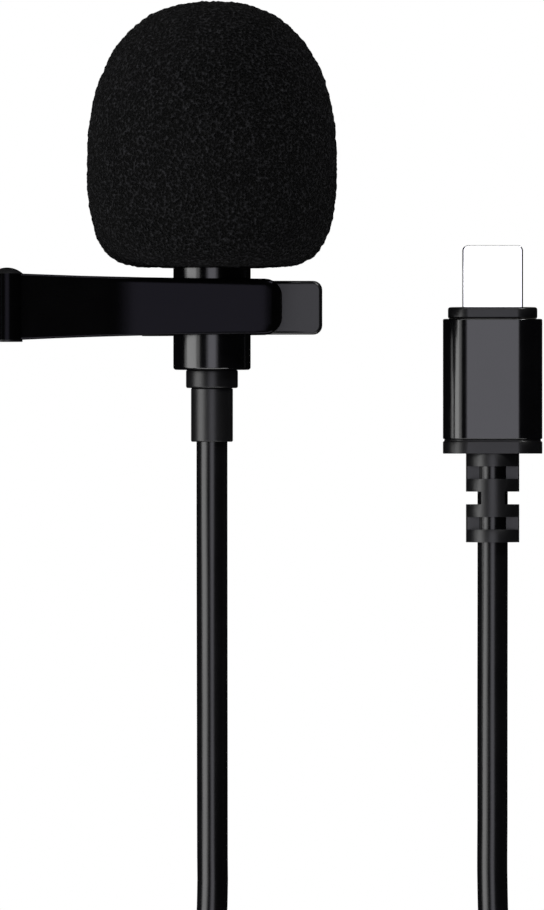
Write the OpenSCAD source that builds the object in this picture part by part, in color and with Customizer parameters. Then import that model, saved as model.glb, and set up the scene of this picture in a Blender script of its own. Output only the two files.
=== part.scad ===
// Lavalier microphone with foam windscreen, sprung ring clip, thin lead and flat phone plug.
// It lies on a table, as seen from above: the capsule points along +Y, the clip's levers along -X,
// and the lead runs along -Y into a tied coil, then back up to the plug. Millimetres, +Z up.

/* [Microphone body] */
// Outside diameter of the body tube
mic_d = 8.5; // [7.5:0.1:11]
// Length of the body tube with its front cap
mic_len = 22; // [19:0.5:30]
// Distance from the clip's centre line down to the body's cord end
mic_drop = 6.9; // [5.5:0.1:12]
// Wall of the body tube
mic_wall = 0.7; // [0.5:0.05:1]
// Diameter of the turned collar behind the body
collar_d = 5.7; // [5.3:0.1:7]
// Length of the turned collar
collar_len = 2; // [1:0.1:4]
// Diameter of the sleeve that relieves the lead
boot_d = 4.6; // [4.4:0.1:6]
// Length of that sleeve
boot_len = 5.9; // [4:0.1:12]

/* [Microphone capsule] */
// Outside diameter of the electret capsule
capsule_d = 6; // [5:0.1:6.2]
// Length of the electret capsule
capsule_len = 2.7; // [2.4:0.1:4]

/* [Foam windscreen] */
// Greatest diameter of the foam
foam_d = 27.6; // [22:0.2:40]
// Length of the foam along the microphone
foam_len = 29.35; // [24:0.05:40]
// Height of the widest place above the foam's lower edge
foam_wide_at = 10.85; // [8:0.05:16]
// Distance from the clip's centre line to the foam's lower edge
foam_gap = 4.25; // [3.9:0.05:8]

/* [Clip] */
// Height of the clip's front face at its round end
clip_tip_h = 6.08; // [5:0.02:8]
// Height of the clip's front face at its hinge
clip_hinge_h = 7.26; // [6.6:0.02:9]
// Reach of the front face past the microphone's axis
clip_front_reach = 7.7; // [6.8:0.1:10]
// Wall between the ring's bore and the clip's flat front
ring_front_wall = 0.7; // [0.6:0.1:2]
// Wall between the ring's bore and the clip's flat back
ring_back_wall = 0.9; // [0.6:0.1:2]
// Slope of the arm that runs back to the hinge, in degrees
arm_slope = 14.2; // [8:0.2:16]
// Thickness of the arm and of the levers
arm_t = 1.6; // [1.2:0.1:2]
// Distance from the microphone's axis to the hinge pin
hinge_reach = 22.45; // [21:0.05:30]
// Diameter of the hinge pin
pin_d = 1.2; // [1:0.1:1.4]
// Diameter of the pin's domed head
pin_head_d = 3.5; // [3:0.1:4]
// Reach of the rear jaw past the microphone's axis
jaw_reach = 12.14; // [8:0.02:16]
// Reach of the levers past the microphone's axis
lever_reach = 37.8; // [34:0.2:46]
// Wall of the rubber sleeve between clip and microphone
sleeve_wall = 1.15; // [1:0.05:1.3]

/* [Lead] */
// Diameter of the lead
cord_d = 3.4; // [2.8:0.1:3.4]

/* [Plug] */
// Width of the flat metal tab
tab_w = 6.7; // [6:0.1:8]
// Thickness of the flat metal tab
tab_t = 1.5; // [1.4:0.1:2]
// Length of the flat metal tab
tab_len = 6.85; // [6:0.05:8]
// Width of the plug's barrel
barrel_w = 11; // [10.4:0.1:14]
// Thickness of the plug's barrel
barrel_t = 6; // [5.8:0.1:8]
// Length of the plug's barrel
barrel_len = 13.3; // [12:0.1:18]
// Length of the front collar
plug_collar_len = 1.3; // [1:0.1:2]
// Length of the rear ring
rear_ring_len = 1.6; // [1.2:0.1:3]
// Diameter of the ribbed strain relief
plug_boot_d = 5.9; // [5.2:0.1:6]
// Length of the ribbed strain relief
plug_boot_len = 9.8; // [8:0.1:14]

/* [Hidden] */
$fn = 64;
CUT = 0.5;          // extra length of a cutter past the face that it cuts
RUN = 0.05;         // radial clearance of parts that turn or slide on each other
SNUG = 0.02;        // radial clearance of parts that are pushed together and stay

// Places in the row's frame: the origin is under the middle of microphone, clip and foam
mic_top = mic_len - mic_drop;
foam_top = foam_gap + foam_len;
rear_end = mic_drop + collar_len + boot_len;
mic_x = (lever_reach - foam_d / 2) / 2;
mic_y = -(foam_top - rear_end) / 2;
mic_z = foam_d / 2;

// Microphone body, capsule and cord entry
mic_r = mic_d / 2;
tube_r = mic_r - mic_wall;
cap_t = 1;
spigot_len = 1;
spigot_wall = 0.4;
mesh_t = 0.15;
felt_t = 0.4;
floor_t = 1;
crimp_len = 2;
cord_inside = 0.5;
collar_spigot_r = 2.3;
capsule_top = mic_top - cap_t - spigot_len - 0.3;
capsule_r = capsule_d / 2;
can_wall = 0.2;
can_front = 0.25;
insert_r = capsule_r - can_wall;
ring_w = 0.5;
film_t = 0.04;
diaphragm_t = 0.15;
spacer_t = 0.1;
backplate_t = 0.3;
rim_t = 0.2;
board_t = 0.4;
diaphragm_z = capsule_top - can_front;
spacer_z = diaphragm_z - diaphragm_t;
stack_z = spacer_z - spacer_t;
board_z = capsule_top - capsule_len + rim_t + board_t;
wire_r = 0.25;
wire_off = 0.8;

// Clip
sleeve_r = mic_r + RUN + sleeve_wall;
bore_r = sleeve_r + RUN;
clip_front_z = bore_r + ring_front_wall;
clip_back_z = bore_r + ring_back_wall;
rib_h = 0.3;
rib_w = 1.2;
ring_round = 1.2;
knuckle_r = 1.8;
hood_r = 1.35;
rear_ear_r = 1.3;
bend_x = -9.6;
bend_half = 2.2;
ear_in = 2.55;
rear_ear_in = 1.45;
rear_ear_out = 2.5;
neck_half = 0.9;
arm_back_x = 1.55 - hinge_reach;
pin_z = front_z(arm_back_x) - sqrt(pow(knuckle_r, 2) - pow(1.55, 2));
pin_at = [-hinge_reach, pin_z];
pin_r = pin_d / 2;
head_h = 0.67;
tail_h = 0.22;
lever_end = [0.75 - lever_reach, pin_z + 3.2];
jaw_t = 1.5;
tooth_h = 0.35;
tooth_pitch = 1.4;
jaw_mid = clip_back_z + 0.1 + tooth_h + jaw_t / 2;
jaw_bend = [-9, -jaw_mid];
jaw_apex = [0.25 - hinge_reach, pin_z - 3];
rear_lever_end = [jaw_t / 2 - lever_reach, jaw_t / 2 - mic_z];
spring_r = 0.95;
spring_wire_r = 0.17;
spring_half = 1;
spring_steps = 12;
spring_turns = 3.75;

// Plug, lying flat with its tab forward
plug_x = 43;
plug_tip = -2.45;
plug_z = barrel_t / 2;
collar_y = plug_tip - tab_len;
barrel_y = collar_y - plug_collar_len;
ring_y = barrel_y - barrel_len;
plug_boot_y = ring_y - rear_ring_len;
barrel_wall = 0.6;
groove_w = 0.25;
groove_h = 0.15;
tab_root = 3;
tab_edge_r = 0.3;
pocket_w = 5.2;
pocket_len = 5.4;
pocket_h = 0.55;
contact_t = 0.12;
contact_w = 0.42;
contact_pitch = 0.62;
contact_count = 8;
board_w = 7.6;
board_len = 7.5;
plug_board_t = 0.8;
plug_wire_r = 0.3;
plug_crimp_len = 1.8;

// The lead's route where it isn't coiled: out of the microphone and down on to the table
cord_r = cord_d / 2;
mic_route = [
    [12, -12.8, 13.8], [12, -18, 13.8], [12, -24.2, 13.8], [12, -28, 13.8], [12, -32, 13.6],
    [12, -36, 13], [12, -41, 11.7], [12, -46, 10.2], [12, -51, 8.7], [12, -56, 7.1],
    [12, -61, 5.6], [12, -66, 4.1], [12, -70, 3], [12, -74, 2.2], [11.7, -78.5, 1.8],
    [10.1, -83.7, 1.7], [7.6, -88, 1.7], [5.2, -92.2, 1.7]
];
// and from the plug down on to the table
plug_route = [
    [43, -21.6, 3], [43, -25.5, 3], [43, -30, 3], [43, -35.3, 3], [43, -39, 2.9], [43, -43, 2.6],
    [43, -48, 2.1], [43, -53, 1.8], [43, -59, 1.7], [43, -66, 1.7], [43, -73, 1.7],
    [43.3, -78.5, 1.9], [44.8, -83.7, 2.6], [47.2, -88, 3.9], [49.6, -92.2, 4.6]
];
// The tied coil that holds the rest of the lead
coil_at = [27.4, -105];
coil_in_r = 12;
coil_out_r = 27.4;
coil_h = 9.6;
coil_round = 2.4;
tie_t = 0.8;
tie_w = 12;
tie_sink = 0.4;

// --- helpers -------------------------------------------------------------------------------

// points of an arc about c, from angle a0 to a1
function arc(c, r, a0, a1, n = 6) =
    [for (i = [0:n]) c + r * [cos(a0 + (a1 - a0) * i / n), sin(a0 + (a1 - a0) * i / n)]];

// height of the clip's front face at x
function front_z(x) = clip_front_z - tan(arm_slope) * (
    x > bend_x + bend_half ? 0 :
    x > bend_x - bend_half ? pow(bend_x + bend_half - x, 2) / (4 * bend_half) :
    bend_x - x
);

// half the height of the clip at x, fuller towards the hinge
function half_height(x) =
    (clip_tip_h + (clip_hinge_h - clip_tip_h)
        * pow(min(1, (clip_front_reach - x) / (clip_front_reach - arm_back_x)), 2.2)) / 2;

function unit(v) = v / norm(v);
function heading(p, i) = unit(p[min(i + 1, len(p) - 1)] - p[max(i - 1, 0)]);
function ring_at(p, i, r, sides, ref) =
    let (t = heading(p, i), a = unit(cross(ref, t)), b = cross(t, a))
    [for (k = [0:sides - 1]) p[i] + r * (cos(360 * k / sides) * a + sin(360 * k / sides) * b)];

// round tube of radius r through the points p
module sweep(p, r, sides, ref) {
    n = len(p);
    polyhedron(
        points = [for (i = [0:n - 1]) each ring_at(p, i, r, sides, ref)],
        faces = concat(
            [[for (k = [0:sides - 1]) k]],
            [for (i = [0:n - 2], k = [0:sides - 1]) [
                i * sides + k, (i + 1) * sides + k,
                (i + 1) * sides + (k + 1) % sides, i * sides + (k + 1) % sides
            ]],
            [[for (k = [sides - 1:-1:0]) (n - 1) * sides + k]]
        )
    );
}

// stands children on the microphone's axis, their Z along the microphone
module on_mic() translate([mic_x, mic_y, mic_z]) rotate([-90, 0, 0]) children();

// extrudes a side profile of the clip by h along the microphone, about height y
module clip_profile(h, y = 0)
    translate([mic_x, mic_y + y, mic_z]) rotate([90, 0, 0]) linear_extrude(h, center = true) children();

// ring or disc from radius r0 to r1, from z down by h
module washer(r1, r0, z, h) translate([0, 0, z - h]) difference() {
    cylinder(r = r1, h = h);
    if (r0 > 0) translate([0, 0, -CUT]) cylinder(r = r0, h = h + 2 * CUT);
}

// a flat strip of thickness t through the 2D points p, with round joints and ends
module strip(p, t) {
    for (i = [0:len(p) - 2]) {
        step = p[i + 1] - p[i];
        translate(p[i]) rotate(atan2(step[1], step[0])) translate([0, -t / 2]) square([norm(step), t]);
    }
    for (q = p) translate(q) circle(d = t);
}

// flat-sided oval section of width w and thickness t
module oval(w, t) {
    square([w - t, t], center = true);
    for (s = [-1, 1]) translate([s * (w - t) / 2, 0]) circle(d = t);
}

// oval bar of the plug, from y down by h
module plug_bar(w, t, y, h)
    translate([plug_x, y, plug_z]) rotate([90, 0, 0]) linear_extrude(h) oval(w, t);

// round bar of the plug, from y down by h
module plug_round(r, y, h) translate([plug_x, y, plug_z]) rotate([90, 0, 0]) cylinder(r = r, h = h);

// --- foam ----------------------------------------------------------------------------------

// full crown above the widest place, nearly flat base below it
module foam_windscreen() color("#1b1b1d") on_mic() difference() {
    rotate_extrude() polygon(concat(
        [[0, foam_gap]],
        [for (a = [3, 8, 16, 26, 38, 50, 62, 74]) [
            foam_d / 2 * pow(sin(a), 2 / 7),
            foam_gap + foam_wide_at * (1 - pow(cos(a), 2 / 2.15))
        ]],
        [for (a = [90:-6:6]) [
            foam_d / 2 * pow(sin(a), 2 / 2.4),
            foam_gap + foam_wide_at + (foam_len - foam_wide_at) * pow(cos(a), 2 / 2.4)
        ]],
        [[0, foam_top]]
    ));
    translate([0, 0, foam_gap - CUT]) cylinder(r = mic_r + RUN, h = mic_top - foam_gap + 0.3 + CUT);
}

// --- microphone ----------------------------------------------------------------------------

module mic_body() color("#0b0b0c") on_mic() difference() {
    rotate_extrude() polygon(concat(
        [[0, mic_top - cap_t], [mic_r, mic_top - cap_t]],
        arc([mic_r - 0.35, 0.35 - mic_drop], 0.35, 0, -90),
        [[0, -mic_drop]]
    ));
    translate([0, 0, floor_t - mic_drop]) cylinder(r = tube_r, h = mic_len);
    translate([0, 0, -mic_drop - CUT]) cylinder(r = collar_spigot_r + SNUG, h = floor_t + 2 * CUT);
}

module grille_cap() color("#111113") on_mic() difference() {
    union() {
        rotate_extrude() polygon(concat(
            [[0, mic_top - cap_t], [mic_r, mic_top - cap_t]],
            arc([mic_r - 0.5, mic_top - 0.5], 0.5, 0, 90),
            [[0, mic_top]]
        ));
        washer(tube_r - SNUG, 0, mic_top - cap_t, spigot_len);
    }
    translate([0, 0, mic_top - cap_t - spigot_len - CUT])
        cylinder(r = tube_r - SNUG - spigot_wall, h = spigot_len + CUT);
    translate([0, 0, mic_top - cap_t - CUT]) {
        cylinder(r = 0.5, h = cap_t + 2 * CUT);
        for (a = [0:60:300]) rotate(a) translate([1.8, 0, 0]) cylinder(r = 0.5, h = cap_t + 2 * CUT);
    }
}

module grille_mesh() color("#8a8c90") on_mic() difference() {
    washer(tube_r - spigot_wall - 0.1, 0, mic_top - cap_t, mesh_t);
    for (i = [-3:3], j = [-3:3]) if (norm([i, j]) < 3.5)
        translate([i * 0.7 - 0.2, j * 0.7 - 0.2, mic_top - cap_t - mesh_t - CUT])
            cube([0.4, 0.4, mesh_t + 2 * CUT]);
}

module dust_felt() color("#2a2a2c") on_mic()
    washer(tube_r - spigot_wall - 0.1, 0, mic_top - cap_t - mesh_t, felt_t);

module capsule_gasket() color("#18181a") on_mic() {
    lip_top = mic_top - cap_t - spigot_len;
    difference() {
        washer(tube_r - SNUG, 0, lip_top, lip_top - capsule_top + capsule_len);
        washer(capsule_r + SNUG, 0, capsule_top, capsule_len + CUT);
        washer(1.5, 0, lip_top + CUT, 2 * CUT + 1);
    }
}

module capsule_can() color("#c4c6c8") on_mic() difference() {
    washer(capsule_r, 0, capsule_top, capsule_len);
    washer(0.6, 0, capsule_top + CUT, 2 * CUT);
    washer(insert_r + SNUG, 0, diaphragm_z, capsule_len - can_front - rim_t);
    washer(insert_r - ring_w, 0, capsule_top - 1, capsule_len);
}

module diaphragm() color("#d8c9a0") on_mic() {
    washer(insert_r, 0, diaphragm_z, film_t);
    washer(insert_r, insert_r - ring_w, diaphragm_z, diaphragm_t);
}

module spacer_washer() color("#e8e4d8") on_mic() washer(insert_r, insert_r - ring_w, spacer_z, spacer_t);

module backplate() color("#b8a878") on_mic() difference() {
    washer(insert_r - ring_w - SNUG, 0, stack_z, backplate_t);
    for (a = [0:90:270]) rotate(a) translate([1.2, 0, stack_z - backplate_t - CUT])
        cylinder(r = 0.25, h = backplate_t + 2 * CUT);
}

module backplate_holder() color("#e0ddd4") on_mic()
    washer(insert_r, insert_r - ring_w, stack_z, stack_z - board_z);

module gate_ring() color("#c8a860") on_mic()
    washer(insert_r - ring_w - 2 * SNUG, insert_r - ring_w - 0.45, stack_z - backplate_t,
        stack_z - backplate_t - board_z);

module capsule_board() color("#1f5a3a") on_mic() washer(insert_r, 0, board_z, board_t);

module capsule_fet() color("#141416") on_mic() translate([-0.7, -0.6, board_z]) cube([1.4, 1.2, 0.6]);

module mic_wires() color("#b03020") on_mic()
    for (s = [-1, 1]) translate([s * wire_off, 0, floor_t + crimp_len + cord_inside - mic_drop])
        cylinder(r = wire_r, h = board_z - board_t - floor_t - crimp_len - cord_inside + mic_drop);

module cord_crimp() color("#a9abad") on_mic()
    washer(2.6, cord_r + SNUG, floor_t + crimp_len - mic_drop, crimp_len);

module mic_collar() color("#161617") on_mic() difference() {
    rotate_extrude() polygon(concat(
        [[0, floor_t - mic_drop], [collar_spigot_r, floor_t - mic_drop],
            [collar_spigot_r, -mic_drop], [collar_d / 2, -mic_drop]],
        arc([collar_d / 2 - 0.25, 0.25 - mic_drop - collar_len], 0.25, 0, -90),
        [[0, -mic_drop - collar_len]]
    ));
    translate([0, 0, -mic_drop - collar_len - CUT])
        cylinder(r = cord_r + SNUG, h = collar_len + floor_t + 2 * CUT);
}

module mic_boot() color("#141415") on_mic() difference() {
    rotate_extrude() polygon(concat(
        [[0, -mic_drop - collar_len], [boot_d / 2, -mic_drop - collar_len]],
        arc([boot_d / 2 - 0.3, 0.3 - rear_end], 0.3, 0, -90),
        [[0, -rear_end]]
    ));
    translate([0, 0, -rear_end - CUT]) cylinder(r = cord_r + SNUG, h = boot_len + 2 * CUT);
}

// --- clip ----------------------------------------------------------------------------------

// a middle rib keys the sleeve in the clip's ring, which turns on it
module ring_sleeve() color("#1c1c1d") on_mic() difference() {
    union() {
        washer(sleeve_r, 0, clip_tip_h / 2 - 0.05, clip_tip_h - 0.1);
        washer(sleeve_r + rib_h, 0, rib_w / 2, rib_w);
    }
    translate([0, 0, -clip_tip_h]) cylinder(r = mic_r + RUN, h = 2 * clip_tip_h);
}

// outline of the clip seen from the front
module front_plan() {
    round_r = 1.9;
    tip = clip_front_reach - round_r;
    steps = [for (i = [0:8]) tip - (tip - arm_back_x) * i / 8];
    polygon(concat(
        [for (x = steps) [x, half_height(x)]],
        [[-lever_reach, clip_hinge_h / 2], [-lever_reach, -clip_hinge_h / 2]],
        [for (i = [8:-1:0]) [steps[i], -half_height(steps[i])]],
        arc([tip, round_r - clip_tip_h / 2], round_r, -90, 0),
        arc([tip, clip_tip_h / 2 - round_r], round_r, 0, 90)
    ));
}

module front_profile() {
    flat_end = clip_front_reach - ring_round;
    intersection() {
        circle(r = clip_front_reach);
        translate([-lever_reach, -clip_back_z]) square([2 * lever_reach, clip_back_z]);
    }
    translate([-clip_front_reach, 0])
        square([2 * clip_front_reach, clip_front_z - ring_round]);
    translate([-clip_front_reach, 0]) square([clip_front_reach + flat_end, clip_front_z]);
    translate([flat_end, clip_front_z - ring_round]) circle(r = ring_round);
    bend = [for (i = [0:8]) bend_x + bend_half * (1 - i / 4)];
    polygon(concat(
        [for (x = [0, each bend, arm_back_x]) [x, front_z(x)]],
        [for (x = [arm_back_x, each [for (i = [8:-1:0]) bend[i]], 0]) [x, front_z(x) - arm_t]]
    ));
    intersection() {
        translate(pin_at) circle(r = knuckle_r);
        translate([-lever_reach, pin_z]) square([lever_reach, knuckle_r]);
    }
    strip([pin_at + [-1, 1], lever_end], 1.5);
    for (i = [0:4]) translate(lever_end + [1 + 1.5 * i, 0.75 - 0.2 * i]) circle(r = 0.35);
}

module clip_front_arm() color("#151517") difference() {
    union() {
        intersection() {
            clip_profile(2 * clip_hinge_h) front_profile();
            translate([mic_x, mic_y, 0]) linear_extrude(2 * mic_z) front_plan();
        }
        for (s = [-1, 1]) clip_profile(clip_hinge_h / 2 - ear_in, s * (clip_hinge_h / 2 + ear_in) / 2)
            translate(pin_at) circle(r = knuckle_r);
    }
    clip_profile(2 * clip_hinge_h) circle(r = bore_r);
    clip_profile(rib_w + 2 * RUN) circle(r = bore_r + rib_h);
    clip_profile(2 * ear_in) translate(pin_at) circle(r = hood_r);
    clip_profile(2 * clip_hinge_h) translate(pin_at) circle(r = pin_r + SNUG);
}

// a pin with a domed head at one end and a flat riveted tail at the other
module clip_hinge_pin() color("#2a2a2c") {
    half = clip_hinge_h / 2;
    ball_r = (pow(pin_head_d / 2, 2) + pow(head_h, 2)) / (2 * head_h);
    translate([mic_x - hinge_reach, mic_y, mic_z + pin_z]) rotate([-90, 0, 0]) {
        translate([0, 0, -half]) cylinder(r = pin_r, h = 2 * half);
        translate([0, 0, -half - tail_h]) cylinder(r = pin_head_d / 2 - 0.05, h = tail_h);
        intersection() {
            translate([0, 0, half]) cylinder(r = pin_head_d / 2, h = head_h);
            translate([0, 0, half + head_h - ball_r]) sphere(r = ball_r);
        }
    }
}

// torsion spring: one leg under each lever
module clip_spring() color("#b5b7ba") {
    turns = [for (i = [0:spring_steps * spring_turns])
        let (a = 270 + 360 * i / spring_steps)
        [spring_r * cos(a), -spring_half + 2 * spring_half * i / (spring_steps * spring_turns),
            spring_r * sin(a)]];
    translate([mic_x - hinge_reach, mic_y, mic_z + pin_z]) sweep(concat(
        [[-6, -spring_half, -6.9], [-3.6, -spring_half, -4.4], [-1.6, -spring_half, -1.8],
            [-0.8, -spring_half, -1.1]],
        turns,
        [[-1.1, spring_half, -0.8], [-1.9, spring_half, -1.3], [-4, spring_half, -0.5],
            [-6.4, spring_half, 0.8]]
    ), spring_wire_r, 6, [0, 1, 0]);
}

module rear_plan() {
    round_r = 1;
    half = clip_tip_h / 2 - 0.07;
    polygon(concat(
        [[-hinge_reach, rear_ear_out + 0.5], [-lever_reach, clip_hinge_h / 2 - 0.2],
            [-lever_reach, 0.2 - clip_hinge_h / 2], [-hinge_reach, -rear_ear_out - 0.5]],
        arc([jaw_reach - round_r, round_r - half], round_r, -90, 0),
        arc([jaw_reach - round_r, half - round_r], round_r, 0, 90)
    ));
}

module clip_rear_arm() color("#1b1b1d") difference() {
    union() {
        intersection() {
            clip_profile(2 * clip_hinge_h) {
                strip([[jaw_reach, -jaw_mid], jaw_bend, jaw_apex, rear_lever_end], jaw_t);
                for (i = [0:6]) translate([-3.4 + tooth_pitch * i, jaw_t / 2 - jaw_mid])
                    polygon([[0, -0.1], [0, 0], [tooth_pitch / 2, tooth_h], [tooth_pitch, 0],
                        [tooth_pitch, -0.1]]);
            }
            translate([mic_x, mic_y, 0]) linear_extrude(mic_z) rear_plan();
        }
        for (s = [-1, 1]) clip_profile(rear_ear_out - rear_ear_in, s * (rear_ear_out + rear_ear_in) / 2) {
            translate(pin_at) circle(r = rear_ear_r);
            translate(pin_at + [-neck_half, jaw_apex[1] - pin_z])
                square([2 * neck_half, pin_z - jaw_apex[1]]);
        }
    }
    clip_profile(2 * clip_hinge_h) translate(pin_at) circle(r = pin_r + RUN);
}

// --- lead ----------------------------------------------------------------------------------

module cord_mic_end() color("#121213") sweep(mic_route, cord_r, 8, [1, 0, 0]);

module cord_plug_end() color("#121213") sweep(plug_route, cord_r, 8, [1, 0, 0]);

// section of the wound bundle: its corners are round
module coil_section() {
    w = coil_out_r - coil_in_r;
    translate([coil_in_r, 0]) {
        translate([coil_round, 0]) square([w - 2 * coil_round, coil_h]);
        translate([0, coil_round]) square([w, coil_h - 2 * coil_round]);
        for (x = [coil_round, w - coil_round], z = [coil_round, coil_h - coil_round])
            translate([x, z]) circle(r = coil_round);
    }
}

module cord_coil() color("#121213") difference() {
    translate([coil_at[0], coil_at[1], 0]) rotate_extrude() coil_section();
    tie_band();
}

// strap round the bundle, which it squeezes a little
module tie_band() {
    mid_r = (coil_in_r + coil_out_r) / 2;
    proud = tie_t - tie_sink;
    outer_w = coil_out_r - coil_in_r + 2 * proud;
    translate([coil_at[0] - tie_w / 2, coil_at[1] - mid_r - outer_w / 2, 0]) difference() {
        cube([tie_w, outer_w, coil_h + proud]);
        translate([-CUT, tie_t, tie_t])
            cube([tie_w + 2 * CUT, outer_w - 2 * tie_t, coil_h + proud - 2 * tie_t]);
    }
}

module cord_tie() color("#1a1a1c") tie_band();

// --- plug ----------------------------------------------------------------------------------

// flat bar with the tab's section, bigger by grow all round, from y down by h
module tab_bar(grow, y, h) translate([plug_x, y, plug_z]) rotate([90, 0, 0]) linear_extrude(h) {
    r = tab_edge_r + grow;
    square([tab_w + 2 * grow - 2 * r, tab_t + 2 * grow], center = true);
    square([tab_w + 2 * grow, tab_t + 2 * grow - 2 * r], center = true);
    for (a = [-1, 1], b = [-1, 1])
        translate([a * (tab_w / 2 - tab_edge_r), b * (tab_t / 2 - tab_edge_r)]) circle(r = r);
}

// steel tab with rounded edges; its underside holds the contacts
module plug_tab() color("#e6e7e8") {
    corner = 0.6;
    difference() {
        intersection() {
            tab_bar(0, plug_tip, tab_len + tab_root);
            translate([plug_x, plug_tip, 0]) linear_extrude(barrel_t) polygon(concat(
                [[-tab_w / 2, -tab_len - tab_root]], [[tab_w / 2, -tab_len - tab_root]],
                arc([tab_w / 2 - corner, -corner], corner, 0, 90),
                arc([corner - tab_w / 2, -corner], corner, 90, 180)
            ));
        }
        translate([plug_x - pocket_w / 2, plug_tip - 0.7 - pocket_len, plug_z - tab_t / 2 - CUT])
            cube([pocket_w, pocket_len, pocket_h + CUT]);
    }
}

module contact_carrier() color("#1a1a1c")
    translate([plug_x - pocket_w / 2 + SNUG, plug_tip - 0.7 - pocket_len + SNUG,
        plug_z - tab_t / 2 + contact_t])
        cube([pocket_w - 2 * SNUG, pocket_len - 2 * SNUG, pocket_h - contact_t]);

module plug_contacts() color("#d9b45a") for (i = [0:contact_count - 1])
    translate([plug_x + (i - (contact_count - 1) / 2) * contact_pitch - contact_w / 2,
        plug_tip - 1.5 - 3.6, plug_z - tab_t / 2])
        cube([contact_w, 3.6, contact_t]);

module plug_board() color("#1d4f38")
    translate([plug_x - board_w / 2, plug_tip - tab_len - tab_root - board_len, plug_z - plug_board_t / 2])
        cube([board_w, board_len, plug_board_t]);

module plug_chips() color("#111113")
    translate([plug_x, plug_tip - tab_len - tab_root, plug_z + plug_board_t / 2]) {
        translate([-1.5, -4.6, 0]) cube([3, 3, 0.8]);
        translate([-3.2, -6.6, 0]) cube([1.6, 1, 0.5]);
        translate([1.6, -6.6, 0]) cube([1.6, 1, 0.5]);
    }

// moulded frame that grips the tab's root and carries the board's edges
module plug_frame() color("#d8d6cf") {
    inner_w = barrel_w - 2 * barrel_wall - 2 * RUN;
    inner_t = barrel_t - 2 * barrel_wall - 2 * RUN;
    front = barrel_y - RUN;
    difference() {
        plug_bar(inner_w, inner_t, front, tab_root - plug_collar_len - RUN + 2.4);
        tab_bar(SNUG, front + CUT, tab_root - plug_collar_len - RUN + CUT);
        translate([plug_x - board_w / 2 - SNUG, plug_tip - tab_len - tab_root - board_len, plug_z - 1.3])
            cube([board_w + 2 * SNUG, board_len, 2.6]);
    }
}

module plug_wires() color("#c23b2e") {
    from = plug_tip - tab_len - tab_root - board_len;
    for (s = [-1, 1], t = [-1, 1])
        translate([plug_x + s * 0.55, from, plug_z + t * 0.55])
            rotate([90, 0, 0]) cylinder(r = plug_wire_r, h = from - plug_route[0][1]);
}

module plug_crimp() color("#a9abad") difference() {
    plug_round(2.25, ring_y + plug_crimp_len, plug_crimp_len);
    plug_round(cord_r + SNUG, ring_y + plug_crimp_len + CUT, plug_crimp_len + 2 * CUT);
}

module plug_collar() color("#1c1c1e") difference() {
    plug_bar(barrel_w - 1.1, barrel_t - 1.1, collar_y, plug_collar_len);
    tab_bar(SNUG, collar_y + CUT, plug_collar_len + 2 * CUT);
}

module plug_barrel() color("#0c0c0e") difference() {
    plug_bar(barrel_w, barrel_t, barrel_y, barrel_len);
    plug_bar(barrel_w - 2 * barrel_wall, barrel_t - 2 * barrel_wall, barrel_y + CUT, barrel_len + 2 * CUT);
}

module plug_rear_ring() color("#1c1c1e") difference() {
    union() {
        plug_bar(barrel_w - 2 * groove_h, barrel_t - 2 * groove_h, ring_y, groove_w);
        plug_bar(barrel_w, barrel_t, ring_y - groove_w, rear_ring_len - groove_w);
    }
    plug_round(cord_r + SNUG, ring_y + CUT, rear_ring_len + 2 * CUT);
}

// sleeve of four rings: flat webs at the sides join the first two and the last two, and a rib
// above and below joins the middle two, so that it bends evenly
module plug_boot() color("#141415") {
    ring_len = 1.4;
    web_half = 0.9;
    rib_half = 1.3;
    gap = (plug_boot_len - 4 * ring_len) / 3;
    big = 2 * plug_boot_d;
    difference() {
        plug_round(plug_boot_d / 2, plug_boot_y, plug_boot_len);
        plug_round(cord_r + SNUG, plug_boot_y + CUT, plug_boot_len + 2 * CUT);
        for (i = [0, 2], s = [-1, 1]) translate([plug_x,
            plug_boot_y - ring_len - gap / 2 - i * (ring_len + gap), plug_z + s * (web_half + big / 2)])
            cube([big, gap, big], center = true);
        for (s = [-1, 1]) translate([plug_x + s * (rib_half + big / 2),
            plug_boot_y - 2 * ring_len - 1.5 * gap, plug_z])
            cube([big, gap, big], center = true);
    }
}

foam_windscreen();
mic_body();
grille_cap();
grille_mesh();
dust_felt();
capsule_gasket();
capsule_can();
diaphragm();
spacer_washer();
backplate();
backplate_holder();
gate_ring();
capsule_board();
capsule_fet();
mic_wires();
cord_crimp();
mic_collar();
mic_boot();
ring_sleeve();
clip_front_arm();
clip_hinge_pin();
clip_spring();
clip_rear_arm();
cord_mic_end();
cord_coil();
cord_tie();
cord_plug_end();
plug_tab();
contact_carrier();
plug_contacts();
plug_board();
plug_chips();
plug_frame();
plug_wires();
plug_crimp();
plug_collar();
plug_barrel();
plug_rear_ring();
plug_boot();
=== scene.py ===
import math

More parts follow.
